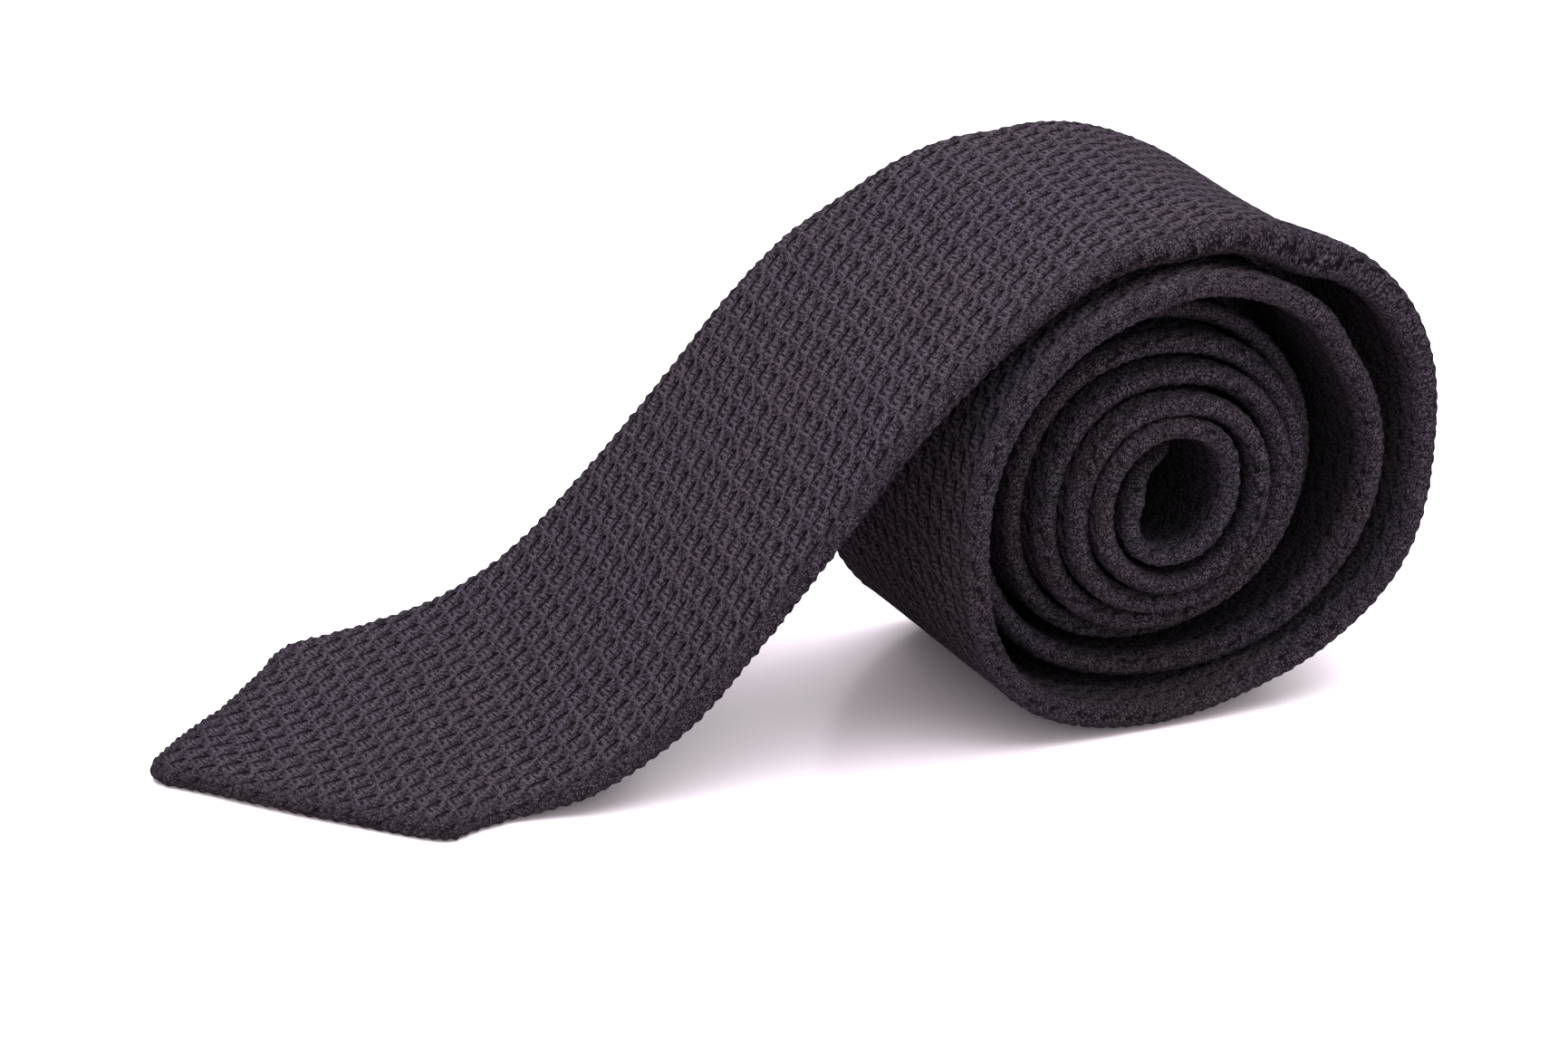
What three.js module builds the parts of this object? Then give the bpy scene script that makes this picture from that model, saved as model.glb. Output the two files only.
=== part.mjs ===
// A grenadine necktie rolled up from its narrow end, with the front of the blade drawn out.
// The cloth follows one winding line in the XZ plane and lies straight across it, along Y.
// Walking from the tip, the face of the tie is on the left: up on the blade, outward on the roll.

import * as THREE from 'three'

// Driving sizes in millimetres, measured from the line through the blade's two corners
const TIP_LENGTH = 41
const AXIS_FROM_CORNERS = 138
const AXIS_HEIGHT = 44
const BLADE_STEP = 5
const STEPS_PER_TURN = 24
const END_TURN = 7.06

// Joins of the three lengths of cloth, in turns from the top of the roll
const BLADE_JOIN_TURN = 1.75
const NECK_JOIN_TURN = 3.75
const JOIN_GAP = 0.3

// Section of the folded cloth
const EDGE_SIDES = 4
const LAP_DEPTH = 0.8
const LAP_PLACE = 0.5
const LAP_SLOPE_PLACE = 0.53
const FULL_LAP_WIDTH = 20

const CLOTH_COLOUR = 0x2a272e
const CLOTH_ROUGHNESS = 0.85

// Height of the cloth's middle line, from the tip up to the top of the roll
const BLADE_LINE = [
  { along: -TIP_LENGTH, height: 2.1 },
  { along: 0, height: 2.1 },
  { along: 8, height: 2.1 },
  { along: 15, height: 2.7 },
  { along: 25, height: 5.2 },
  { along: 35, height: 9.8 },
  { along: 45, height: 16.6 },
  { along: 55, height: 26 },
  { along: 65, height: 36.2 },
  { along: 75, height: 47 },
  { along: 85, height: 57.8 },
  { along: 95, height: 66.8 },
  { along: 108, height: 76.4 },
  { along: 120, height: 83.2 },
  { along: 130, height: 86.2 },
  { along: AXIS_FROM_CORNERS, height: 86.8 },
]

// Radius of the middle line in each turn of the roll, from the outer turn to the eye, clockwise
const TURNS = [
  { top: 42.8, topRight: 49.6, right: 48.6, lowRight: 43.4, low: 41.8, lowLeft: 44, left: 41.6, topLeft: 37.6 },
  { top: 35.2, topRight: 36.6, right: 38.8, lowRight: 36.8, low: 35.2, lowLeft: 38.4, left: 35, topLeft: 32 },
  { top: 29, topRight: 29.2, right: 30, lowRight: 30.2, low: 30.6, lowLeft: 32.2, left: 28.8, topLeft: 26.6 },
  { top: 24.2, topRight: 24.6, right: 25.4, lowRight: 26, low: 26.6, lowLeft: 27.8, left: 24.4, topLeft: 21.8 },
  { top: 19.4, topRight: 20, right: 20.8, lowRight: 21.6, low: 22.2, lowLeft: 23.2, left: 20.2, topLeft: 17.4 },
  { top: 14.6, topRight: 14.6, right: 14.8, lowRight: 16.2, low: 18, lowLeft: 18.4, left: 16.2, topLeft: 13.4 },
  { top: 10.8, topRight: 9.6, right: 8.4, lowRight: 9.4, low: 12.2, lowLeft: 13.8, left: 9.6, topLeft: 4.6 },
  { top: 3.6, topRight: 7.4 },
]
const PLACES_PER_TURN = 8

// Edges of the cloth each side of the middle plane, and its folded thickness, by distance from the tip
const CLOTH = [
  { fromTip: 0, near: 2.5, far: 2.5, thick: 4.2 },
  { fromTip: 41, near: 45, far: 45, thick: 4.2 },
  { fromTip: 130, near: 42, far: 41, thick: 4.2 },
  { fromTip: 215, near: 39, far: 37.4, thick: 4.4 },
  { fromTip: 285, near: 42.5, far: 30, thick: 4.4 },
  { fromTip: 350, near: 45.5, far: 23, thick: 4.4 },
  { fromTip: 415, near: 47, far: 18, thick: 4.4 },
  { fromTip: 475, near: 45, far: 16.5, thick: 4.2 },
  { fromTip: 530, near: 42, far: 16.5, thick: 4.2 },
  { fromTip: 590, near: 40, far: 15.5, thick: 4.2 },
  { fromTip: 690, near: 38, far: 10.5, thick: 3.8 },
  { fromTip: 785, near: 37, far: 5, thick: 3.4 },
  { fromTip: 870, near: 37, far: 1, thick: 3.4 },
  { fromTip: 950, near: 38, far: -1, thick: 3.4 },
  { fromTip: 1030, near: 40, far: -2.5, thick: 3.4 },
  { fromTip: 1155, near: 44, far: -3, thick: 3.4 },
  { fromTip: 1255, near: 46, far: -1, thick: 3.4 },
  { fromTip: 1327, near: 46, far: 1, thick: 3.4 },
  { fromTip: 1341, near: 33, far: -29, thick: 3 },
]

// Smooth curve through a table's rows, with the slope at each row taken from its neighbours
function smooth(xs, ys, x) {
  const last = xs.length - 1
  const slopes = xs.map((_, i) => {
    const before = i > 0 ? (ys[i] - ys[i - 1]) / (xs[i] - xs[i - 1]) : null
    const after = i < last ? (ys[i + 1] - ys[i]) / (xs[i + 1] - xs[i]) : null
    if (before === null) return after
    if (after === null) return before
    const weight = xs[i + 1] - xs[i - 1]
    return (after * (xs[i] - xs[i - 1]) + before * (xs[i + 1] - xs[i])) / weight
  })
  let i = 0
  while (i < last - 1 && x >= xs[i + 1]) i += 1
  const span = xs[i + 1] - xs[i]
  const t = (x - xs[i]) / span
  const cubic = 2 * t ** 3 - 3 * t ** 2
  const startPull = (t ** 3 - 2 * t ** 2 + t) * span * slopes[i]
  const endPull = (t ** 3 - t ** 2) * span * slopes[i + 1]
  return (1 + cubic) * ys[i] - cubic * ys[i + 1] + startPull + endPull
}

// Straight lines between a table's rows
function between(rows, key, column, x) {
  let i = 0
  while (i < rows.length - 2 && x >= rows[i + 1][key]) i += 1
  const t = THREE.MathUtils.clamp((x - rows[i][key]) / (rows[i + 1][key] - rows[i][key]), 0, 1)
  return THREE.MathUtils.lerp(rows[i][column], rows[i + 1][column], t)
}

// Middle line of the cloth as points { x, z, turn }, where turn is negative before the roll
function middleLine() {
  const line = []
  const along = BLADE_LINE.map((row) => row.along)
  const heights = BLADE_LINE.map((row) => row.height)
  const bladeSteps = Math.round((TIP_LENGTH + AXIS_FROM_CORNERS) / BLADE_STEP)
  for (let i = 0; i < bladeSteps; i += 1) {
    const x = THREE.MathUtils.lerp(-TIP_LENGTH, AXIS_FROM_CORNERS, i / bladeSteps)
    const z = Math.max(smooth(along, heights, x), BLADE_LINE[0].height)
    line.push({ x, z, turn: -1 })
  }
  const radii = TURNS.flatMap((row) => Object.values(row))
  const places = radii.map((_, i) => i / PLACES_PER_TURN)
  const turnSteps = Math.floor(END_TURN * STEPS_PER_TURN)
  for (let i = 0; i <= turnSteps + 1; i += 1) {
    const turn = Math.min(i / STEPS_PER_TURN, END_TURN)
    const radius = smooth(places, radii, turn)
    const angle = turn * 2 * Math.PI
    line.push({
      x: AXIS_FROM_CORNERS + radius * Math.sin(angle),
      z: AXIS_HEIGHT + radius * Math.cos(angle),
      turn,
    })
  }
  return line
}

// Adds to each point its distance from the tip and the direction of the cloth's face
function measured(line) {
  let fromTip = 0
  return line.map((point, i) => {
    const before = line[Math.max(i - 1, 0)]
    const after = line[Math.min(i + 1, line.length - 1)]
    fromTip += Math.hypot(point.x - before.x, point.z - before.z)
    const reach = Math.hypot(after.x - before.x, after.z - before.z)
    const faceX = -(after.z - before.z) / reach
    const faceZ = (after.x - before.x) / reach
    return { ...point, fromTip, faceX, faceZ }
  })
}

// Point of the measured line at a distance from the tip
function pointAt(line, fromTip) {
  const point = {}
  for (const column of ['x', 'z', 'faceX', 'faceZ']) {
    point[column] = between(line, 'fromTip', column, fromTip)
  }
  return { ...point, fromTip }
}

// Outline of the folded cloth across the line, as { y, out } points, with a lapped seam on its back
function section(fromTip) {
  const near = between(CLOTH, 'fromTip', 'near', fromTip)
  const far = between(CLOTH, 'fromTip', 'far', fromTip)
  const round = between(CLOTH, 'fromTip', 'thick', fromTip) / 2
  const width = near + far
  const lap = LAP_DEPTH * Math.min(1, width / FULL_LAP_WIDTH)
  const outline = []
  const edge = (centre, start) => {
    for (let i = 0; i <= EDGE_SIDES; i += 1) {
      const angle = start + (i / EDGE_SIDES) * Math.PI
      outline.push({ y: centre + round * Math.cos(angle), out: round * Math.sin(angle) })
    }
  }
  edge(-near + round, Math.PI / 2)
  outline.push({ y: -near + width * LAP_PLACE, out: -round })
  outline.push({ y: -near + width * LAP_SLOPE_PLACE, out: -round + lap })
  edge(far - round, -Math.PI / 2)
  return outline
}

// Closed solid of the cloth between two distances from the tip
function clothSolid(line, start, end) {
  const inner = line.filter((point) => point.fromTip > start + JOIN_GAP && point.fromTip < end - JOIN_GAP)
  const stations = [pointAt(line, start), ...inner, pointAt(line, end)]
  const positions = []
  const faces = []
  let count = 0
  stations.forEach((point, row) => {
    const outline = section(point.fromTip)
    count = outline.length
    for (const { y, out } of outline) {
      positions.push(point.x + point.faceX * out, y, point.z + point.faceZ * out)
    }
    if (row === 0) return
    for (let i = 0; i < count; i += 1) {
      const a = (row - 1) * count + i
      const b = (row - 1) * count + ((i + 1) % count)
      faces.push(a, b, b + count, a, b + count, a + count)
    }
  })
  const lastRow = (stations.length - 1) * count
  for (let i = 1; i < count - 1; i += 1) {
    faces.push(0, i + 1, i)
    faces.push(lastRow, lastRow + i, lastRow + i + 1)
  }
  const geometry = new THREE.BufferGeometry()
  geometry.setAttribute('position', new THREE.Float32BufferAttribute(positions, 3))
  geometry.setIndex(faces)
  geometry.computeVertexNormals()
  return geometry
}

function clothMaterial() {
  return new THREE.MeshStandardMaterial({ color: CLOTH_COLOUR, roughness: CLOTH_ROUGHNESS, metalness: 0 })
}

function clothPiece(name, line, start, end) {
  const mesh = new THREE.Mesh(clothSolid(line, start, end), clothMaterial())
  mesh.name = name
  return mesh
}

const line = measured(middleLine())
const wholeLength = line[line.length - 1].fromTip
const fromTipAt = (turn) => line.find((point) => point.turn >= turn).fromTip
const bladeEnd = fromTipAt(BLADE_JOIN_TURN)
const neckEnd = fromTipAt(NECK_JOIN_TURN)

const tie = new THREE.Group()
tie.add(clothPiece('blade', line, 0, bladeEnd - JOIN_GAP / 2))
tie.add(clothPiece('neck', line, bladeEnd + JOIN_GAP / 2, neckEnd - JOIN_GAP / 2))
tie.add(clothPiece('tail', line, neckEnd + JOIN_GAP / 2, wholeLength))

// The origin is under the middle of the whole tie, on the surface that it lies on
const box = new THREE.Box3().setFromObject(tie)
const centre = box.getCenter(new THREE.Vector3())
tie.position.set(-centre.x, -centre.y, -box.min.z)

export default tie
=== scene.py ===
# A rolled grenadine necktie: one folded band of gauze cloth, modelled along its winding middle line.
# Lengths on the cloth are in millimetres. The meshes, floor, lights and camera are in metres.
import math
import bpy
import numpy as np
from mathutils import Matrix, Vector


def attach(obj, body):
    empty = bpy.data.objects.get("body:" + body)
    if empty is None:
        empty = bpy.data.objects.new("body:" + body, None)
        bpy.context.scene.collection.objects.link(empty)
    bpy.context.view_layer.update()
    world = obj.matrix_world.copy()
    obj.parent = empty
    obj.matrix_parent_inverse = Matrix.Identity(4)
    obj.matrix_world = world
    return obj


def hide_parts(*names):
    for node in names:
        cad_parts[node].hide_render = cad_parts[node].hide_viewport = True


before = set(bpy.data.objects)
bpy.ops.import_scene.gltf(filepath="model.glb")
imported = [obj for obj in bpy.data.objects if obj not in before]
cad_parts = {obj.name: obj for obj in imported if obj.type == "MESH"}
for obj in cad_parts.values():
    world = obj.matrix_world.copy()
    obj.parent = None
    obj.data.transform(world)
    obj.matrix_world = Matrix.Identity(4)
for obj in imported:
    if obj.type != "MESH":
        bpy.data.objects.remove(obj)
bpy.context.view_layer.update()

MM = 0.001
TAU = 2 * math.pi

# Where the part's origin lies in the frame that the tables are written in
ORIGIN_X = 73.895
ORIGIN_Y = -0.867

# The middle line of the cloth, as in the part's source
TIP_LENGTH = 41.0
AXIS_FROM_CORNERS = 138.0
AXIS_HEIGHT = 44.0
END_TURN = 7.06
BLADE_JOIN_TURN = 1.75
NECK_JOIN_TURN = 3.75
REST_HEIGHT = 2.1
BLADE_LINE = [
    # place along the tie from the blade's two corners, height
    (-TIP_LENGTH, 2.1), (0, 2.1), (8, 2.1), (15, 2.7), (25, 5.2), (35, 9.8), (45, 16.6), (55, 26),
    (65, 36.2), (75, 47), (85, 57.8), (95, 66.8), (108, 76.4), (120, 83.2), (130, 86.2), (138, 86.8),
]
TURNS = [
    # radius at the top, top right, right, low right, low, low left, left and top left
    (42.8, 49.6, 48.6, 43.4, 41.8, 44, 41.6, 37.6),
    (35.2, 36.6, 38.8, 36.8, 35.2, 38.4, 35, 32),
    (29, 29.2, 30, 30.2, 30.6, 32.2, 28.8, 26.6),
    (24.2, 24.6, 25.4, 26, 26.6, 27.8, 24.4, 21.8),
    (19.4, 20, 20.8, 21.6, 22.2, 23.2, 20.2, 17.4),
    (14.6, 14.6, 14.8, 16.2, 18, 18.4, 16.2, 13.4),
    (10.8, 9.6, 8.4, 9.4, 12.2, 13.8, 9.6, 4.6),
    (3.6, 7.4),
]
PLACES_PER_TURN = 8
LINE_STEP = 0.25
ROLL_SAMPLES = 5084

# Edges of the cloth each side of the middle plane and its folded thickness, as in the part's source
CLOTH = [
    # from the tip, near edge, far edge, thickness
    (0, 2.5, 2.5, 4.2), (41, 45, 45, 4.2), (130, 42, 41, 4.2), (215, 39, 37.4, 4.4), (285, 42.5, 30, 4.4),
    (350, 45.5, 23, 4.4), (415, 47, 18, 4.4), (475, 45, 16.5, 4.2), (530, 42, 16.5, 4.2),
    (590, 40, 15.5, 4.2), (690, 38, 10.5, 3.8), (785, 37, 5, 3.4), (870, 37, 1, 3.4), (950, 38, -1, 3.4),
    (1030, 40, -2.5, 3.4), (1155, 44, -3, 3.4), (1255, 46, -1, 3.4), (1327, 46, 1, 3.4),
    (1341, 33, -29, 3),
]
# What the soft folds add at the two edges, and how far the cloth lifts along each of them
FIT = [
    # from the tip, near edge, far edge, near lift, far lift
    (0, -1.2, -1.2, 1.5, 1.4),
    (1.2, 0.2, 0.4, 1.5, 1.4),
    (3, 0.1, 0.4, 1.4, 1.3),
    (8, 0.4, 0.5, 1.0, 0.8),
    (20, 3.0, -1.2, 0.2, 0.2),
    (33, 4.1, 0.7, 0.0, 0.5),
    (35.5, 4.1, 1.8, 0.0, 0.6),
    (38, 3.6, 2.3, 0.0, 0.7),
    (40, 2.1, 1.6, 0.0, 0.8),
    (42, 0.4, 1.6, 0.0, 0.9),
    (46, -1.2, 2.4, 0.0, 1.1),
    (52, -2.4, 2.8, 0.0, 1.4),
    (58, -1.3, 2.8, 0.0, 1.5),
    (65, 0.6, 2.2, 0.0, 1.2),
    (72, 1.1, 1.6, 0.0, 0.7),
    (85, 1.8, 0.9, 0.0, 0.3),
    (100, 1.7, 0.9, 0.0, 0.3),
    (135, 1.6, 1.6, 0.0, 0.3),
    (165, 1.8, 3.0, 0.0, 0.8),
    (180, 1.8, 1.3, 0.0, 0.2),
    (215, 1.8, 0.4, 0.0, 0.0),
    (250, 1.8, 1.6, 0.0, 0.0),
    (420, 1.8, 1.5, 0.0, 0.0),
    (560, 1.4, 1.2, 0.0, 0.0),
    (600, 0.0, 1.2, 0.0, 0.0),
    (640, -4.0, 1.1, 0.0, 0.0),
    (700, -5.2, 1.0, 0.0, 0.0),
    (780, -5.0, 1.0, 0.0, 0.0),
    (840, -2.5, 1.0, 0.0, 0.0),
    (880, 0.3, 1.0, 0.0, 0.0),
    (1341, 0.0, 0.0, 0.0, 0.0),
]
# Columns of the two tables above
NEAR = 1
FAR = 2
THICK = 3
NEAR_LIFT = 3
FAR_LIFT = 4

# Section of the folded cloth: the lapped seam on its back, and how far its two folds reach in,
# as shares of half its thickness
LAP_DEPTH = 0.8
LAP_PLACE = 0.5
LAP_UNDER = 0.03
LAP_RISE = (0.25, 1.0)
FULL_LAP_WIDTH = 20
FOLD_REACH = 1.7
TIP_FOLD_REACH = 1.0
FOLD_REACH_GROWS = (40, 110)
SLOPE_REACH = 0.8
SLOPE_START = (80, 130)
SLOPE_END = (190, 230)
WIDEST_REACH = 1 / 2.2
END_ROUNDING = 2.0
END_THINNEST = 0.12

# How near to a fold the cloth is drawn in, on the blade and on the roll
BLADE_FOLD = (0.6, 4.5)
ROLL_FOLD = (1.2, 6.5)
ROLL_STARTS = (190, 250)

# The tip is pressed thinner and rounded back, and its rows lie closer together
TIP_THINNER = 0.72
TIP_THINNER_ENDS = (30, 95)
TIP_SHORTER = 1.0
TIP_SHORTER_ENDS = (0, 14)
TIP_ROWS_END = 44.0
TIP_ROW_SHARE = 0.26

# Extra half thickness along the folds, by distance from the tip
FULL_WIDTH = 9.0
FULL = [
    (0, 0.0), (60, 0.0), (200, 0.1), (420, 0.25), (540, 0.35), (620, 0.1), (800, 0.1), (900, 0.5),
    (1100, 0.55), (1341, 0.2),
]

# Hills and hollows of the roll, as place and spread in turns and height, and the span across the
# cloth over which each one comes in
BULGES = [
    (0.18, 0.055, 1.5), (0.25, 0.03, -0.3), (0.32, 0.05, 1.7), (0.455, 0.055, -1.6), (0.6, 0.05, 1.2),
    (0.65, 0.055, 2.0), (1.75, 0.1, 0.8),
]
SINK = [(0.1, 0.055, -2.6)]
SINK_ACROSS = (-42, -8)
SINK_EASES = 0.42
SINK_EASES_ACROSS = (5, 34)
EDGE_SINK = [(0.09, 0.03, -0.7)]
EDGE_SINK_ACROSS = (-20, 15)
RISE = [(1.07, 0.13, 4.2)]
RISE_ACROSS = (-14, 10)
CREST = 1.6
CREST_STARTS = (0.93, 1.02)
CREST_ENDS = (1.12, 1.17)
NEAR_LIFT_ACROSS = (-30, 0)
FAR_LIFT_ACROSS = (5, 38)

# How the back of the outer turn's near fold curls in under it
CURLS = [(0.1, 0.13, -2.0), (0.085, 0.03, -1.6)]
CURL_ACROSS = (3.0, 17.0)
CURL_FACING = (-0.8, 0.6)

# Where the cloth's back faces into the roll. Shade is painted into its colour there, darker by an amount
# and the depths from the near edge where that starts and is full, and its weave is partly that of a fold.
INSIDE_TURNS = (-0.1, -0.03)
INSIDE_FACING = (-0.1, 0.7)
INNER_TURNS = (0.5, 0.8)
OUTER_PAINTED_SHADE = (0.05, 2.5, 14.0)
INNER_PAINTED_SHADE = (0.58, 0.3, 7.0)
DEEP_PAINTED_SHADE = (0.2, 8.0, 32.0)
INSIDE_AS_FOLD = 0.75

# The weave repeats on this lattice, given along the tie and across it
CELL_ALONG = (4.9, 0.25)
CELL_ACROSS = (0.5, 4.7)
CELL_AREA = CELL_ALONG[0] * CELL_ACROSS[1] - CELL_ALONG[1] * CELL_ACROSS[0]

# The lattice wanders a little, and more by the folds
WANDER_EVEN = 0.35
WANDER_AT_FOLDS = 0.75
WANDERS = [
    # moved along the tie, bump length along and across, seed, reach
    (True, 16, 13, 1, 2.2),
    (False, 14, 17, 2, 2.2),
    (True, 5, 5, 3, 1.2),
    (False, 5, 5, 4, 1.0),
]

# One repeat, charted
OPEN_STROKES = [
    # name, place along, place across, slant in degrees, half length, half width, weight
    ("slit", 0.3, -0.02, 10, 1.15, 0.25, 0.8),
    ("slit_end", 1.08, 0.14, 58, 0.5, 0.34, 1.2),
    ("slit_start", -1.42, -0.48, 38, 0.6, 0.26, 0.8),
    ("step", 1.02, 1.2, 82, 0.42, 0.17, 0.5),
    ("pinhole", 1.82, 2.1, 60, 0.3, 0.2, 0.65),
    ("gap_left", -1.36, 2.4, 76, 0.66, 0.16, 0.55),
    ("gap_right", 1.98, -1.25, 84, 0.55, 0.15, 0.5),
    ("gap_thin", -0.15, 2.0, 99, 0.95, 0.12, 0.45),
    ("gap_low", 0.1, -1.2, 82, 0.55, 0.15, 0.5),
]
# The first strokes are deep enough to be modelled
SLITS = OPEN_STROKES[:3]
RAISED_STROKES = [
    ("bar_left", -1.92, 1.95, 92, 1.15, 0.22, 0.8),
    ("bar_middle", -0.66, 2.4, 93, 0.9, 0.2, 0.65),
    ("bar_right", 0.28, 2.65, 88, 0.85, 0.2, 0.6),
    ("bar_low", -1.1, -1.7, 96, 0.7, 0.2, 0.45),
]

# The ribs that run slantwise through the weave, in repeats
RIB_MIDDLE = -0.51
RIB_SWING = 0.095
RIB_SWING_PLACE = 0.7
RIB_HALF_WIDTH = 0.15

# Relief of the weave, in the flat cloth and along its folds
SLIT_WIDER = 0.1
BAR_WIDER = 0.08
FLAT_RIBS = 0.07
FLAT_BARS = 0.07
FLAT_SLITS = -0.2
DEEPEST_SLIT = 1.1
FLAT_LEVEL = 0.02
FOLD_RIBS = 0.05
FOLD_BARS = 0.03
FOLD_SLITS = -0.07
FOLD_KNOBS = 0.1
FOLD_BEADS = 0.13
KNOBS = [
    # length along, length across, seed, weight
    (1.5, 1.3, 5, 1.0),
    (0.9, 0.85, 6, 0.6),
]
KNOB_MEAN = 0.8
BEAD_PLACES = (0, 41, 1341)
BEAD_COUNTS = (0, 23.4, 565)
BEAD_SWAY = 1.2
BEAD_SWAY_LENGTH = 9.0
TIP_KNOBBLIER = 0.8
TIP_KNOBBLIER_ENDS = (60, 260)
COARSE_SPACING = (1.3, 3.0)

# Columns of the mesh round each fold, and how the back's columns crowd towards the folds
EDGE_COLUMNS = 14
BACK_CROWDING = 1.7
SEAM_STEP = 0.3


def smooth(xs, ys, x):
    """Smooth curve through a table's points, with the slope at each taken from its neighbours."""
    xs = np.asarray(xs, float)
    ys = np.asarray(ys, float)
    steps = np.diff(xs)
    rises = np.diff(ys) / steps
    inner = (rises[1:] * steps[:-1] + rises[:-1] * steps[1:]) / (xs[2:] - xs[:-2])
    slopes = np.concatenate([rises[:1], inner, rises[-1:]])
    i = np.clip(np.searchsorted(xs, x, side="right") - 1, 0, len(xs) - 2)
    t = (x - xs[i]) / steps[i]
    cubic = 2 * t ** 3 - 3 * t ** 2
    start_pull = (t ** 3 - 2 * t ** 2 + t) * steps[i] * slopes[i]
    end_pull = (t ** 3 - t ** 2) * steps[i] * slopes[i + 1]
    return (1 + cubic) * ys[i] - cubic * ys[i + 1] + start_pull + end_pull


def step_up(x, start, end):
    """From 0 to 1 between two places, level at both."""
    t = np.clip((x - start) / (end - start), 0, 1)
    return t * t * (3 - 2 * t)


def hills(turn, rows):
    """Smooth hills and hollows along the roll, from rows of place, spread and height."""
    return sum(height * np.exp(-((turn - place) / spread) ** 2) for place, spread, height in rows)


def value_noise(x, y, seed):
    """Smooth repeatable noise from 0 to 1 with one bump per unit."""
    xi = np.floor(x)
    yi = np.floor(y)
    fx = step_up(x - xi, 0, 1)
    fy = step_up(y - yi, 0, 1)

    def corner(a, b):
        return np.mod(np.sin(a * 127.1 + b * 311.7 + seed * 74.7) * 43758.5453, 1.0)

    low = corner(xi, yi) * (1 - fx) + corner(xi + 1, yi) * fx
    high = corner(xi, yi + 1) * (1 - fx) + corner(xi + 1, yi + 1) * fx
    return low * (1 - fy) + high * fy


# The middle line, finely sampled, with its turn counted back along the blade too
blade_x = np.arange(-TIP_LENGTH, AXIS_FROM_CORNERS, LINE_STEP)
blade_z = smooth([row[0] for row in BLADE_LINE], [row[1] for row in BLADE_LINE], blade_x)
blade_z = np.maximum(blade_z, REST_HEIGHT)
blade_turn = (blade_x - AXIS_FROM_CORNERS) / (TAU * TURNS[0][0])
radii = [radius for turn in TURNS for radius in turn]
roll_turn = np.linspace(0, END_TURN, ROLL_SAMPLES)
roll_radius = smooth(np.arange(len(radii)) / PLACES_PER_TURN, radii, roll_turn)
line_x = np.concatenate([blade_x, AXIS_FROM_CORNERS + roll_radius * np.sin(roll_turn * TAU)])
line_z = np.concatenate([blade_z, AXIS_HEIGHT + roll_radius * np.cos(roll_turn * TAU)])
line_turn = np.concatenate([blade_turn, roll_turn])
line_s = np.concatenate([[0], np.cumsum(np.hypot(np.diff(line_x), np.diff(line_z)))])
ahead_x = np.gradient(line_x, line_s)
ahead_z = np.gradient(line_z, line_s)
WHOLE_LENGTH = line_s[-1]
BLADE_END = line_s[np.searchsorted(line_turn, BLADE_JOIN_TURN)]
NECK_END = line_s[np.searchsorted(line_turn, NECK_JOIN_TURN)]


def turn_at(s):
    return np.interp(s, line_s, line_turn)


def fit(column, s):
    """One column of the soft folds' table at a distance from the tip."""
    return np.interp(s, [row[0] for row in FIT], [row[column] for row in FIT])


def cloth_size(column, s):
    """Near edge, far edge or thickness of the cloth, with what its soft folds add at the edges."""
    size = np.interp(s, [row[0] for row in CLOTH], [row[column] for row in CLOTH])
    if column == THICK:
        return size
    return size + fit(column, s)


def lattice(s, c, edge):
    """Place in the weave's lattice, with the cloth's small wander."""
    wander = WANDER_EVEN + WANDER_AT_FOLDS * edge
    for moved_along, length_along, length_across, seed, reach in WANDERS:
        move = wander * (value_noise(s / length_along, c / length_across, seed) - 0.5) * reach
        if moved_along:
            s = s + move
        else:
            c = c + move
    i = (CELL_ACROSS[1] * s - CELL_ACROSS[0] * c) / CELL_AREA
    j = (CELL_ALONG[0] * c - CELL_ALONG[1] * s) / CELL_AREA
    return i, j


def stroke_frame(x, y, slant, half_length, half_width):
    """Centre in the lattice, and the two rows that turn lattice steps into stroke lengths and widths."""
    centre_i = (CELL_ACROSS[1] * x - CELL_ACROSS[0] * y) / CELL_AREA
    centre_j = (CELL_ALONG[0] * y - CELL_ALONG[1] * x) / CELL_AREA
    cos = math.cos(math.radians(slant))
    sin = math.sin(math.radians(slant))
    along = [(cos * v[0] + sin * v[1]) / half_length for v in (CELL_ALONG, CELL_ACROSS)]
    across = [(cos * v[1] - sin * v[0]) / half_width for v in (CELL_ALONG, CELL_ACROSS)]
    return (centre_i, centre_j), along, across


def wrapped(x):
    return x - np.round(x)


def stroke(i, j, x, y, slant, half_length, half_width):
    """One charted stroke of the repeat as a soft spot from 0 to 1."""
    centre, along, across = stroke_frame(x, y, slant, half_length, half_width)
    di = wrapped(i - centre[0])
    dj = wrapped(j - centre[1])
    p = along[0] * di + along[1] * dj
    q = across[0] * di + across[1] * dj
    return np.exp(-(p ** 4 + q ** 2))


def rib(i, j):
    """The ribs that run slantwise through the weave, as soft ridges from 0 to 1."""
    middle = RIB_MIDDLE + RIB_SWING * np.cos(math.pi * (i + j - RIB_SWING_PLACE))
    return np.exp(-(wrapped(i - j - middle) / RIB_HALF_WIDTH) ** 2)


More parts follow.
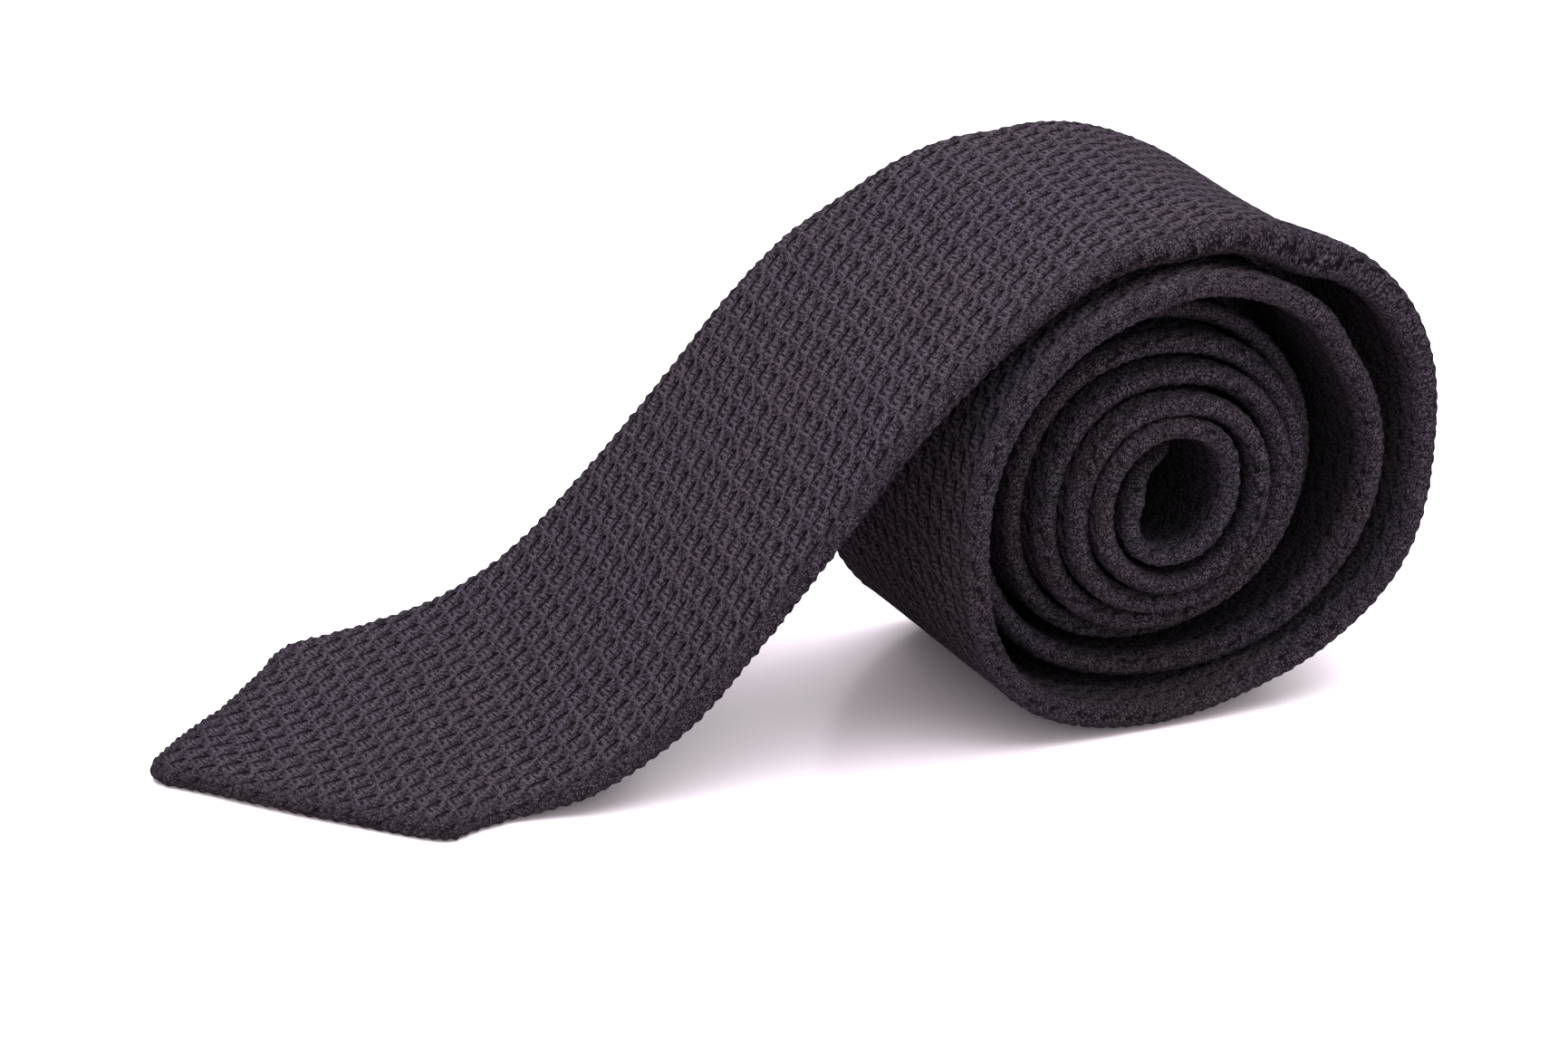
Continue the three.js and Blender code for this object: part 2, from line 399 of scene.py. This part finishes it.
def relief(s, c, i, j, edge):
    """Height of the weave above the cloth's mean surface."""
    opened = np.zeros_like(s)
    for _, x, y, slant, half_length, half_width, weight in SLITS:
        opened += weight * stroke(i, j, x, y, slant, half_length + SLIT_WIDER, half_width + SLIT_WIDER)
    raised = np.zeros_like(s)
    for _, x, y, slant, half_length, half_width, weight in RAISED_STROKES:
        raised += weight * stroke(i, j, x, y, slant, half_length, half_width + BAR_WIDER)
    ribs = rib(i, j)
    flat_part = FLAT_RIBS * ribs + FLAT_BARS * raised + FLAT_SLITS * np.minimum(opened, DEEPEST_SLIT)
    flat_part = flat_part + FLAT_LEVEL
    knobs = np.zeros_like(s)
    for length_along, length_across, seed, weight in KNOBS:
        knobs += weight * value_noise(s / length_along, c / length_across, seed)
    count = np.interp(s, BEAD_PLACES, BEAD_COUNTS)
    beads = np.cos(TAU * count + BEAD_SWAY * np.sin(s / BEAD_SWAY_LENGTH))
    fold_part = FOLD_RIBS * ribs + FOLD_BARS * raised + FOLD_SLITS * opened
    fold_part = fold_part + FOLD_KNOBS * (knobs - KNOB_MEAN) + FOLD_BEADS * beads
    fold_part = fold_part * (1 + TIP_KNOBBLIER * (1 - step_up(s, *TIP_KNOBBLIER_ENDS)))
    return (1 - edge) * flat_part + edge * fold_part


def sag(s, y):
    """How far the outer turn sinks on the turn below it, which rises to meet it, and bulges beside."""
    turn = turn_at(s)
    sink = hills(turn, SINK) * step_up(y, *SINK_ACROSS)
    sink = sink * (1 - SINK_EASES * step_up(y, *SINK_EASES_ACROSS))
    edge_sink = hills(turn, EDGE_SINK) * (1 - step_up(y, *EDGE_SINK_ACROSS))
    far_side = step_up(y, *RISE_ACROSS)
    rise = hills(turn, RISE) * far_side
    near_lift = fit(NEAR_LIFT, s) * (1 - step_up(y, *NEAR_LIFT_ACROSS))
    far_lift = fit(FAR_LIFT, s) * step_up(y, *FAR_LIFT_ACROSS)
    crest = CREST * step_up(turn, *CREST_STARTS) * (1 - step_up(turn, *CREST_ENDS)) * (1 - far_side)
    return sink + edge_sink + rise + hills(turn, BULGES) + near_lift + far_lift + crest


def curl(s, y, no, near):
    """How far the back of the outer turn's near fold curls in under it."""
    return hills(turn_at(s), CURLS) * (1 - step_up(y + near, *CURL_ACROSS)) * step_up(-no, *CURL_FACING)


def faces_in(s, no):
    """From 0 to 1 as the cloth turns its back to the middle of the roll."""
    return step_up(turn_at(s), *INSIDE_TURNS) * step_up(-no, *INSIDE_FACING)


def painted_inner_shade(s, y, no, near):
    """How much of its colour the cloth keeps under the painted shade where it faces into the roll."""
    depth = y + near
    inner = step_up(turn_at(s), *INNER_TURNS)
    amount, start, full = (low + (high - low) * inner for low, high in zip(OUTER_PAINTED_SHADE, INNER_PAINTED_SHADE))
    deep_amount, deep_start, deep_full = DEEP_PAINTED_SHADE
    # Painted shade: darker deeper in from the near edge, where little light reaches inside the roll
    shade = amount * step_up(depth, start, full) + deep_amount * step_up(depth, deep_start, deep_full)
    return 1 - faces_in(s, no) * shade


def fullness(s, y, near, far):
    """Extra half thickness, which grows towards the two folds and deeper in the roll."""
    at_fold = 1 - step_up(np.minimum(y + near, far - y), 0.0, FULL_WIDTH)
    deeper = np.interp(s, [row[0] for row in FULL], [row[1] for row in FULL])
    return at_fold * deeper


def rounded_end(from_end):
    """Share of the thickness that is left at a distance from one of the cloth's two ends."""
    short = 1 - np.minimum(from_end, END_ROUNDING) / END_ROUNDING
    return np.sqrt(np.clip(1 - short ** 2, END_THINNEST, 1))


def section(s, front_columns, back_columns):
    """Folded section at each distance from the tip, which starts and ends at the lapped seam.

    It gives arrays of y, out, their normal, the cloth's own coordinate across it, and nearness to a fold.
    """
    near = cloth_size(NEAR, s)[:, None]
    far = cloth_size(FAR, s)[:, None]
    width = near + far
    half = cloth_size(THICK, s)[:, None] / 2
    half = half * (rounded_end(s) * rounded_end(WHOLE_LENGTH - s))[:, None]
    lap = LAP_DEPTH * np.minimum(1, width / FULL_LAP_WIDTH)
    on_slope = step_up(s, *SLOPE_START) * (1 - step_up(s, *SLOPE_END))
    reach = TIP_FOLD_REACH + (FOLD_REACH - TIP_FOLD_REACH) * step_up(s, *FOLD_REACH_GROWS)
    reach = np.minimum((reach + SLOPE_REACH * on_slope)[:, None] * half, width * WIDEST_REACH)
    left = -near + reach
    right = far - reach
    seam = -near + width * LAP_PLACE
    inner_seam = seam + width * LAP_UNDER
    back = (1 - (1 - np.arange(back_columns) / back_columns) ** BACK_CROWDING)[None, :]
    front = (np.arange(front_columns) / front_columns)[None, :]
    under = ((np.arange(back_columns + 1) / back_columns) ** BACK_CROWDING)[None, :]
    angle = (np.arange(EDGE_COLUMNS) / EDGE_COLUMNS)[None, :] * math.pi
    # Along the back to the near fold, round it, across the front, round the far fold, and along the
    # back to the seam again, tucked under by the lap
    y = np.concatenate([
        seam + (left - seam) * back,
        left - reach * np.sin(angle),
        left + (right - left) * front,
        right + reach * np.sin(angle),
        right + (inner_seam - right) * under,
    ], 1)
    out = np.concatenate([
        -half * np.ones_like(back),
        -half * np.cos(angle),
        half * np.ones_like(front),
        half * np.cos(angle),
        -half + lap * step_up(under, *LAP_RISE),
    ], 1)
    none = np.zeros_like(s)[:, None]
    lean_y = np.sin(angle) * half
    lean_out = np.cos(angle) * reach
    lean = np.hypot(lean_y, lean_out)
    ny = np.concatenate([none * back, -lean_y / lean, none * front, lean_y / lean, none * under], 1)
    no = np.concatenate([none * back - 1, -lean_out / lean, none * front + 1, lean_out / lean,
                         none * under - 1], 1)
    # The cloth's own coordinate is 0 in the middle of its front
    step = np.hypot(np.diff(y, axis=1), np.diff(out, axis=1))
    c = np.concatenate([none, np.cumsum(step, 1)], 1)
    middle = back_columns + EDGE_COLUMNS + front_columns // 2
    c = c - c[:, middle:middle + 1] + (y[:, middle:middle + 1] - (far - near) / 2)
    # Nearness to a fold, which also runs along the tip's two edges
    slope = np.gradient(near[:, 0], s)
    from_fold = np.minimum(y + near, far - y) / np.sqrt(1 + slope ** 2)[:, None]
    on_roll = step_up(s, *ROLL_STARTS)[:, None]
    drawn_in, ends = (low + (high - low) * on_roll for low, high in zip(BLADE_FOLD, ROLL_FOLD))
    edge = 1 - step_up(from_fold, drawn_in, ends)
    return y, out, ny, no, c, edge


def row_places(start, end, row_step):
    """Distances of the mesh's rows from the tip."""
    rows = int(round((end - start) / row_step))
    if start > TIP_LENGTH:
        return np.linspace(start, end, rows + 1)
    shares = (0, TIP_ROW_SHARE, 1)
    return np.interp(np.linspace(0, 1, rows + 1), shares, (start, TIP_ROWS_END, end))


def cloth_surface(s, front_columns, back_columns):
    """Places on the surface of the cloth, and its weave coordinates, nearness to a fold and painted
    shade.
    """
    y, out, ny, no, c, edge = section(s, front_columns, back_columns)
    i, j = lattice(np.broadcast_to(s[:, None], y.shape), c, edge)
    height = relief(np.broadcast_to(s[:, None], y.shape), c, i, j, edge)
    height = height * (1 - step_up(np.gradient(c, axis=1), *COARSE_SPACING))
    near = cloth_size(NEAR, s)[:, None]
    far = cloth_size(FAR, s)[:, None]
    half = cloth_size(THICK, s)[:, None] / 2
    column_s = s[:, None]
    height = height + fullness(column_s, y, near, far)
    out = out + no * height + sag(column_s, y) + curl(column_s, y, no, near)
    y = y + ny * height
    thin = 1 - (1 - TIP_THINNER) * (1 - step_up(column_s, *TIP_THINNER_ENDS))
    out = (out + half) * thin - half
    x = np.interp(s, line_s, line_x)
    z = np.interp(s, line_s, line_z)
    gone_x = np.interp(s, line_s, ahead_x)
    gone_z = np.interp(s, line_s, ahead_z)
    reach = np.hypot(gone_x, gone_z)
    px = x[:, None] - (gone_z / reach)[:, None] * out - ORIGIN_X
    px = px + TIP_SHORTER * (1 - step_up(column_s, *TIP_SHORTER_ENDS))
    py = y - ORIGIN_Y
    pz = np.maximum(z[:, None] + (gone_x / reach)[:, None] * out, 0.0)
    edge = np.maximum(edge, INSIDE_AS_FOLD * faces_in(column_s, no))
    return np.stack([px, py, pz], -1), i, j, edge, painted_inner_shade(column_s, y, no, near)


def band_faces(rows, columns):
    """Four-sided faces of a closed band of rows, and a fan of triangles over each of its two ends."""
    k, m = np.meshgrid(np.arange(rows), np.arange(columns), indexing="ij")
    after = (m + 1) % columns
    quads = np.stack([k * columns + m, (k + 1) * columns + m,
                      (k + 1) * columns + after, k * columns + after], -1).reshape(-1, 4)
    ring = np.arange(columns)
    ring_after = (ring + 1) % columns
    first_middle = np.full(columns, (rows + 1) * columns)
    last = rows * columns
    first_cap = np.stack([first_middle, ring, ring_after], -1)
    last_cap = np.stack([first_middle + 1, last + ring_after, last + ring], -1)
    return quads, np.concatenate([first_cap, last_cap])


def cloth_mesh(name, places, i, j, edge, shade):
    """Closed mesh of a length of the cloth, with its weave coordinates and painted shade as attributes.
    """
    rows = places.shape[0] - 1
    columns = places.shape[1]
    ends = [places[0].mean(0), places[-1].mean(0)]
    points = np.concatenate([places.reshape(-1, 3), ends]) * MM
    quads, caps = band_faces(rows, columns)
    loops = np.concatenate([quads.ravel(), caps.ravel()])
    sizes = np.concatenate([np.full(len(quads), 4), np.full(len(caps), 3)])
    mesh = bpy.data.meshes.new(name)
    mesh.vertices.add(len(points))
    mesh.vertices.foreach_set("co", points.ravel())
    mesh.loops.add(len(loops))
    mesh.loops.foreach_set("vertex_index", loops)
    mesh.polygons.add(len(sizes))
    mesh.polygons.foreach_set("loop_start", np.concatenate([[0], np.cumsum(sizes)[:-1]]))
    mesh.polygons.foreach_set("use_smooth", np.ones(len(sizes), bool))
    mesh.update(calc_edges=True)
    # The weave coordinates belong to the faces' corners, so that the seam doesn't smear them
    flat_i = np.append(i.ravel(), [i[0, 0], i[-1, 0]])
    flat_j = np.append(j.ravel(), [j[0, 0], j[-1, 0]])
    flat_edge = np.append(edge.ravel(), [1, 1])
    corner = np.stack([flat_i[loops], flat_j[loops], flat_edge[loops]], -1)
    at_seam = np.where((np.arange(len(quads)) % columns) == columns - 1)[0] * 4
    for across_seam, beside in ((2, 1), (3, 0)):
        corner[at_seam + across_seam, 0] = corner[at_seam + beside, 0]
        corner[at_seam + across_seam, 1] = corner[at_seam + beside, 1] + SEAM_STEP
    weave = mesh.attributes.new("weave", "FLOAT_VECTOR", "CORNER")
    weave.data.foreach_set("vector", corner.astype(np.float32).ravel())
    # The painted shade inside the roll, 1 where none is painted
    shades = mesh.attributes.new("shade", "FLOAT", "POINT")
    shades.data.foreach_set("value", np.append(shade.ravel(), [1, 1]).astype(np.float32))
    return mesh


def cloth_piece(name, start, end, row_step, front_columns, back_columns):
    """A closed length of the folded cloth, with the size and area that it was folded to, in metres."""
    s = row_places(start, end, row_step)
    mesh = cloth_mesh(name, *cloth_surface(s, front_columns, back_columns))
    piece = bpy.data.objects.new(name, mesh)
    bpy.context.scene.collection.objects.link(piece)
    width = (cloth_size(NEAR, s) + cloth_size(FAR, s)) * MM
    area = float(((width[1:] + width[:-1]) / 2 * np.diff(s)).sum()) * MM
    flat = (float(width.max()), float(end - start) * MM)
    return piece, flat, area


# Tones of the cloth, from the bottom of the weave to its top
DARK_TONE = (0.0042, 0.0035, 0.0043, 1)
MIDDLE_TONE = (0.0168, 0.0136, 0.0168, 1)
LIGHT_TONE = (0.071, 0.0592, 0.0735, 1)
MIDDLE_TONE_PLACE = 0.4
TONE_LEVEL = 0.53
COOLER = (0.98, 0.99, 1.03, 1)
WARMER = (1.03, 0.99, 0.98, 1)
BLACK = (0, 0, 0, 1)
SHEEN_TINT = (0.92, 0.86, 0.95, 1)
TONE_ROUGHNESS = (0.95, 0.7)
BUMP_DISTANCE = 0.32

# Weights in the weave's tone and bump. A pair is for the flat cloth and for its folds.
RIB_WEIGHT = 0.28
BAR_WEIGHT = 0.7
OPEN_WEIGHT = -1.6
WEAVE_WEIGHTS = (1.3, 0.33)
KNOB_WEIGHTS = (0.4, 0.42)
CREPE_WEIGHTS = (2.0, 0.8)
SPECK_WEIGHT = 0.25
GRIT_WEIGHT = 3.2
FOLD_BLEND = (0.1, 1.0)

# Textures over the weave, with a scale of bumps per repeat
JITTER_REACH = 0.08
KNOB_JITTER = (3.0, -3.0, 0.0)
CREPE_SCALE = 7.0
GRIT_SCALE = 17.0
UNEVEN_SCALE = 0.85
UNEVEN_SPAN = (0.3, 0.7, 0.6, 1.4)
BROAD_SCALE = 0.12
BROAD_SPAN = (0.35, 0.65)
KNOB_SCALE = 4.6
KNOB_SPAN = (0.0, 0.2, -0.8, 0.2)
SPECK_SCALE = 4.0
SPECK_SPAN = (0.06, 0.2, -1.0, 0.0)
SPECK_FOLD = (0.15, 1.0)


def make_nodes(owner):
    """Empty node tree of a material or world."""
    owner.use_nodes = True
    tree = owner.node_tree
    tree.nodes.clear()
    return tree


def node(tree, kind, **settings):
    made = tree.nodes.new(kind)
    for key, value in settings.items():
        setattr(made, key, value)
    return made


def feed(tree, socket, value):
    """Links another node's socket, or sets a plain value."""
    if isinstance(value, bpy.types.NodeSocket):
        tree.links.new(value, socket)
    else:
        socket.default_value = value


def sum_node(tree, operation, *values):
    made = node(tree, "ShaderNodeMath", operation=operation)
    for socket, value in zip(made.inputs, values):
        feed(tree, socket, value)
    return made.outputs[0]


def vector_node(tree, operation, *values):
    made = node(tree, "ShaderNodeVectorMath", operation=operation)
    for socket, value in zip(made.inputs, values):
        feed(tree, socket, value)
    return made.outputs["Value"] if operation == "DOT_PRODUCT" else made.outputs["Vector"]


def range_node(tree, value, low, high, to_low=0.0, to_high=1.0):
    made = node(tree, "ShaderNodeMapRange", interpolation_type="SMOOTHSTEP")
    for key, number in (("From Min", low), ("From Max", high), ("To Min", to_low), ("To Max", to_high)):
        made.inputs[key].default_value = number
    feed(tree, made.inputs["Value"], value)
    return made.outputs["Result"]


def colour_mix(tree, factor, first, second, blend="MIX"):
    made = node(tree, "ShaderNodeMix", data_type="RGBA", blend_type=blend)
    colours = [socket for socket in made.inputs if socket.type == "RGBA"]
    feed(tree, made.inputs["Factor"], factor)
    feed(tree, colours[0], first)
    feed(tree, colours[1], second)
    return next(socket for socket in made.outputs if socket.type == "RGBA")


def noise_node(tree, vector, scale, detail, roughness=0.5):
    made = node(tree, "ShaderNodeTexNoise")
    feed(tree, made.inputs["Vector"], vector)
    made.inputs["Scale"].default_value = scale
    made.inputs["Detail"].default_value = detail
    made.inputs["Roughness"].default_value = roughness
    return made.outputs["Fac"]


def cell_node(tree, vector, scale, feature):
    made = node(tree, "ShaderNodeTexVoronoi", feature=feature)
    feed(tree, made.inputs["Vector"], vector)
    made.inputs["Scale"].default_value = scale
    return made.outputs["Distance"]


def soft_spot(tree, power_sum):
    """Turns a sum of powers of the distance into a spot that is 1 in its middle and fades to 0."""
    return sum_node(tree, "POWER", math.exp(-1), power_sum)


def stroke_nodes(tree, place, x, y, slant, half_length, half_width):
    """One charted stroke of the repeat as a soft spot from 0 to 1."""
    centre, along, across = stroke_frame(x, y, slant, half_length, half_width)
    high = (centre[0] + 0.5, centre[1] + 0.5, 0.5)
    low = (centre[0] - 0.5, centre[1] - 0.5, -0.5)
    nearest = vector_node(tree, "WRAP", place, high, low)
    local = vector_node(tree, "SUBTRACT", nearest, (centre[0], centre[1], 0.0))
    p = vector_node(tree, "DOT_PRODUCT", local, (along[0], along[1], 0.0))
    q = vector_node(tree, "DOT_PRODUCT", local, (across[0], across[1], 0.0))
    total = sum_node(tree, "ADD", sum_node(tree, "POWER", p, 4.0), sum_node(tree, "MULTIPLY", q, q))
    return soft_spot(tree, total)


def chart_nodes(tree, place, strokes):
    """Sum of a chart's strokes, each by its weight."""
    total = None
    for _, x, y, slant, half_length, half_width, weight in strokes:
        spot = stroke_nodes(tree, place, x, y, slant, half_length, half_width)
        if total is None:
            total = sum_node(tree, "MULTIPLY", spot, weight)
        else:
            total = sum_node(tree, "MULTIPLY_ADD", spot, weight, total)
    return total


def rib_nodes(tree, place):
    """The ribs that run slantwise through the weave, as soft ridges from 0 to 1."""
    diagonal = vector_node(tree, "DOT_PRODUCT", place, (1.0, 1.0, 0.0))
    crosswise = vector_node(tree, "DOT_PRODUCT", place, (1.0, -1.0, 0.0))
    angle = sum_node(tree, "MULTIPLY_ADD", diagonal, math.pi, -math.pi * RIB_SWING_PLACE)
    swing = sum_node(tree, "MULTIPLY", sum_node(tree, "COSINE", angle), RIB_SWING)
    offset = sum_node(tree, "SUBTRACT", sum_node(tree, "SUBTRACT", crosswise, swing), RIB_MIDDLE)
    nearest = sum_node(tree, "WRAP", offset, 0.5, -0.5)
    scaled = sum_node(tree, "DIVIDE", nearest, RIB_HALF_WIDTH)
    return soft_spot(tree, sum_node(tree, "MULTIPLY", scaled, scaled))


def weave_shape(tree, weave, edge):
    """Height of the weave for tone and bump: the charted strokes, knobs, specks, crepe and grit."""
    jitter = noise_node(tree, weave, CREPE_SCALE, detail=1.0)
    jitter = sum_node(tree, "MULTIPLY_ADD", jitter, JITTER_REACH, -JITTER_REACH / 2)
    shift = node(tree, "ShaderNodeCombineXYZ")
    feed(tree, shift.inputs["X"], jitter)
    feed(tree, shift.inputs["Y"], jitter)
    place = vector_node(tree, "ADD", weave, shift.outputs[0])
    knob_place = vector_node(tree, "MULTIPLY_ADD", shift.outputs[0], KNOB_JITTER, weave)

    uneven = range_node(tree, noise_node(tree, weave, UNEVEN_SCALE, detail=0.0), *UNEVEN_SPAN)
    opened = sum_node(tree, "MULTIPLY", chart_nodes(tree, place, OPEN_STROKES), uneven)
    shape = sum_node(tree, "MULTIPLY", rib_nodes(tree, place), RIB_WEIGHT)
    shape = sum_node(tree, "MULTIPLY_ADD", chart_nodes(tree, place, RAISED_STROKES), BAR_WEIGHT, shape)
    shape = sum_node(tree, "MULTIPLY_ADD", opened, OPEN_WEIGHT, shape)
    shape = sum_node(tree, "MULTIPLY", shape, range_node(tree, edge, *FOLD_BLEND, *WEAVE_WEIGHTS))

    knobs = range_node(tree, cell_node(tree, knob_place, KNOB_SCALE, "DISTANCE_TO_EDGE"), *KNOB_SPAN)
    knob_weight = range_node(tree, edge, *FOLD_BLEND, *KNOB_WEIGHTS)
    shape = sum_node(tree, "MULTIPLY_ADD", knobs, knob_weight, shape)
    specks = range_node(tree, cell_node(tree, knob_place, SPECK_SCALE, "F1"), *SPECK_SPAN)
    specks = sum_node(tree, "MULTIPLY", specks, range_node(tree, edge, *SPECK_FOLD))
    shape = sum_node(tree, "MULTIPLY_ADD", specks, SPECK_WEIGHT, shape)
    crepe = noise_node(tree, weave, CREPE_SCALE, detail=2.0, roughness=0.7)
    crepe = sum_node(tree, "SUBTRACT", crepe, 0.5)
    crepe_weight = range_node(tree, edge, *FOLD_BLEND, *CREPE_WEIGHTS)
    shape = sum_node(tree, "MULTIPLY_ADD", crepe, crepe_weight, shape)
    grit = noise_node(tree, weave, GRIT_SCALE, detail=1.0)
    grit = sum_node(tree, "MULTIPLY_ADD", grit, GRIT_WEIGHT, -GRIT_WEIGHT / 2)
    return sum_node(tree, "ADD", shape, grit)


def cloth_material():
    """Near-black gauze with a violet tint: the charted weave in colour and bump over fine fibres, with
    painted shade inside the roll.
    """
    material = bpy.data.materials.new("grenadine_cloth")
    tree = make_nodes(material)
    weave = node(tree, "ShaderNodeAttribute", attribute_name="weave").outputs["Vector"]
    parts = node(tree, "ShaderNodeSeparateXYZ")
    feed(tree, parts.inputs[0], weave)
    shape = weave_shape(tree, weave, parts.outputs["Z"])

    bump = node(tree, "ShaderNodeBump")
    bump.inputs["Strength"].default_value = 1.0
    bump.inputs["Distance"].default_value = BUMP_DISTANCE * MM
    feed(tree, bump.inputs["Height"], shape)

    tone = sum_node(tree, "ADD", shape, TONE_LEVEL)
    ramp = node(tree, "ShaderNodeValToRGB")
    feed(tree, ramp.inputs["Fac"], tone)
    stops = ramp.color_ramp.elements
    stops[0].position = 0.0
    stops[0].color = DARK_TONE
    stops[1].position = 1.0
    stops[1].color = LIGHT_TONE
    stops.new(MIDDLE_TONE_PLACE).color = MIDDLE_TONE
    broad = range_node(tree, noise_node(tree, weave, BROAD_SCALE, detail=2.0), *BROAD_SPAN)
    tint = colour_mix(tree, broad, COOLER, WARMER)
    cloth = colour_mix(tree, 1.0, ramp.outputs["Color"], tint, "MULTIPLY")
    # Painted shade: the cloth's colour is mixed towards black where it faces into the roll
    shade = node(tree, "ShaderNodeAttribute", attribute_name="shade").outputs["Fac"]
    cloth = colour_mix(tree, shade, BLACK, cloth)

    shader = node(tree, "ShaderNodeBsdfPrincipled")
    feed(tree, shader.inputs["Base Color"], cloth)
    feed(tree, shader.inputs["Roughness"], range_node(tree, tone, 0.0, 1.0, *TONE_ROUGHNESS))
    shader.inputs["Specular IOR Level"].default_value = 0.0
    shader.inputs["Sheen Weight"].default_value = 0.02
    shader.inputs["Sheen Roughness"].default_value = 0.5
    shader.inputs["Sheen Tint"].default_value = SHEEN_TINT
    feed(tree, shader.inputs["Normal"], bump.outputs[0])
    output = node(tree, "ShaderNodeOutputMaterial")
    feed(tree, output.inputs["Surface"], shader.outputs[0])
    return material


# The blade is in two pieces, which meet on the outer turn
BLADE_FRONT_END = 258.0
PIECES = [
    # name, start, end, row step, front columns, back columns, node
    ("blade_front_cloth", 0.0, BLADE_FRONT_END, 0.62, 146, 14, "blade"),
    ("blade_turn_cloth", BLADE_FRONT_END, BLADE_END, 0.75, 92, 14, "blade"),
    ("neck_cloth", BLADE_END, NECK_END, 0.8, 66, 12, "neck"),
    ("tail_cloth", NECK_END, WHOLE_LENGTH, 0.9, 46, 18, "tail"),
]
cloth_finish = cloth_material()
for name, start, end, row_step, front_columns, back_columns, cad_node in PIECES:
    piece, flat, area = cloth_piece(name, start, end, row_step, front_columns, back_columns)
    piece.data.materials.append(cloth_finish)
    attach(piece, "root")
    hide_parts(cad_node)

# The pale studio, in metres
FLOOR_HALF = 4.0
FLOOR_TONES = ((0.93, 0.83, 0.885, 1), (0.94, 0.86, 0.905, 1))
FLOOR_CLOUDS = 3.0
FLOOR_CLOUD_SPAN = (0.3, 0.7)
WHITE = (1, 1, 1)
CENTRE = (0.0, 0.0, 0.04)
LIGHTS = [
    # name, place, aim, width and height, power, colour
    ("key", (0.08, 0.1, 0.47), (0.03, 0.0, 0.05), (0.9, 0.9), 10.2, (0.99, 0.98, 1.04)),
    ("fill", (0.3, -1.4, 0.3), CENTRE, (1.4, 0.7), 1.5, WHITE),
    ("front", (-0.55, -1.3, 0.52), CENTRE, (0.5, 0.5), 4.6, WHITE),
]
EVEN_LIGHT = 1.15
EVEN_LIGHT_COLOUR = (1.0, 0.97, 0.99, 1)


def floor_material():
    material = bpy.data.materials.new("studio_floor")
    tree = make_nodes(material)
    place = node(tree, "ShaderNodeTexCoord").outputs["Object"]
    cloud = range_node(tree, noise_node(tree, place, FLOOR_CLOUDS, detail=1.0), *FLOOR_CLOUD_SPAN)
    shader = node(tree, "ShaderNodeBsdfPrincipled")
    feed(tree, shader.inputs["Base Color"], colour_mix(tree, cloud, *FLOOR_TONES))
    shader.inputs["Roughness"].default_value = 0.2
    shader.inputs["Specular IOR Level"].default_value = 0.4
    output = node(tree, "ShaderNodeOutputMaterial")
    feed(tree, output.inputs["Surface"], shader.outputs[0])
    return material


def studio_floor():
    corners = [(x * FLOOR_HALF, y * FLOOR_HALF, 0) for x, y in ((-1, -1), (1, -1), (1, 1), (-1, 1))]
    mesh = bpy.data.meshes.new("studio_floor")
    mesh.from_pydata(corners, [], [(0, 1, 2, 3)])
    floor = bpy.data.objects.new("studio_floor", mesh)
    bpy.context.scene.collection.objects.link(floor)
    mesh.materials.append(floor_material())


def soft_light(name, place, aim, size, power, colour):
    light = bpy.data.lights.new(name, "AREA")
    light.shape = "RECTANGLE"
    light.size = size[0]
    light.size_y = size[1]
    light.energy = power
    light.color = colour
    lamp = bpy.data.objects.new(name, light)
    bpy.context.scene.collection.objects.link(lamp)
    lamp.location = place
    lamp.rotation_mode = "QUATERNION"
    lamp.rotation_quaternion = (Vector(aim) - Vector(place)).to_track_quat("-Z", "Y")


def background(tree, colour, strength):
    made = node(tree, "ShaderNodeBackground")
    made.inputs["Color"].default_value = colour
    made.inputs["Strength"].default_value = strength
    return made.outputs[0]


def white_world():
    """White behind the object, and an even light on it."""
    world = bpy.data.worlds.new("studio_white")
    bpy.context.scene.world = world
    tree = make_nodes(world)
    blend = node(tree, "ShaderNodeMixShader")
    feed(tree, blend.inputs[0], node(tree, "ShaderNodeLightPath").outputs["Is Diffuse Ray"])
    feed(tree, blend.inputs[1], background(tree, (*WHITE, 1), 1.0))
    feed(tree, blend.inputs[2], background(tree, EVEN_LIGHT_COLOUR, EVEN_LIGHT))
    output = node(tree, "ShaderNodeOutputWorld")
    feed(tree, output.inputs["Surface"], blend.outputs[0])


studio_floor()
for light in LIGHTS:
    soft_light(*light)
white_world()
bpy.context.scene.view_settings.view_transform = "Standard"
bpy.context.scene.view_settings.look = "None"

# The photograph's viewing angle, with the distance and target in millimetres
VIEW_AZIMUTH = -23.24
VIEW_ELEVATION = 19.77
VIEW_DISTANCE = 939.4
VIEW_TARGET = (5.6, 0.87, 30.8)
VIEW_LENS = 119.5
SENSOR = 36.0
CLIP_START = 0.05
CLIP_END = 20.0


def photo_camera():
    azimuth = math.radians(VIEW_AZIMUTH)
    elevation = math.radians(VIEW_ELEVATION)
    back = Vector((
        math.sin(azimuth) * math.cos(elevation),
        -math.cos(azimuth) * math.cos(elevation),
        math.sin(elevation),
    ))
    data = bpy.data.cameras.new("camera")
    data.lens = VIEW_LENS
    data.sensor_width = SENSOR
    data.sensor_fit = "HORIZONTAL"
    data.clip_start = CLIP_START
    data.clip_end = CLIP_END
    camera = bpy.data.objects.new("camera", data)
    bpy.context.scene.collection.objects.link(camera)
    camera.location = (Vector(VIEW_TARGET) + back * VIEW_DISTANCE) * MM
    camera.rotation_mode = "QUATERNION"
    camera.rotation_quaternion = (-back).to_track_quat("-Z", "Y")
    return camera


bpy.context.scene.camera = photo_camera()
